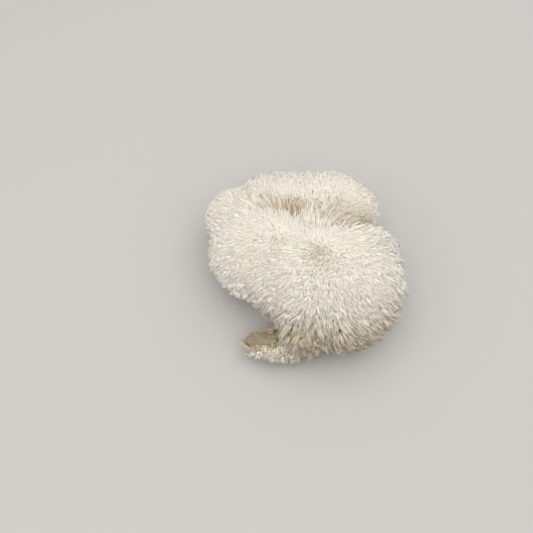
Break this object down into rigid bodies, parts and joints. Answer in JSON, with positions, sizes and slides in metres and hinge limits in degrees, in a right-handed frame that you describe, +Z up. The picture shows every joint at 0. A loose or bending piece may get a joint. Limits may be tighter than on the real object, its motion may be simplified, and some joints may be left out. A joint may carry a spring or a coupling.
{
  "type": "lion's mane mushroom",
  "caption": "Rounded, lobed mushroom head with a deep crease, a shaggy coat of soft pale spines, and a short bare base cut off flat to rest on.",
  "frame": {"origin": "in the plane of the cut base, under the middle of the mushroom's outline", "axes": "+Z up from the cut base, -Y to the front lobe, +Y to the back ridge, +X to the right"},
  "size_m": [0.0862, 0.0868, 0.0412],
  "materials": {
    "flesh": "soft matt ivory flesh, shaggy with fine spines, tan to brown in the crease, smooth and fibrous round the cut base"
  },
  "bodies": {
    "root": {"mushroom": "flesh"}
  },
  "joints": []
}
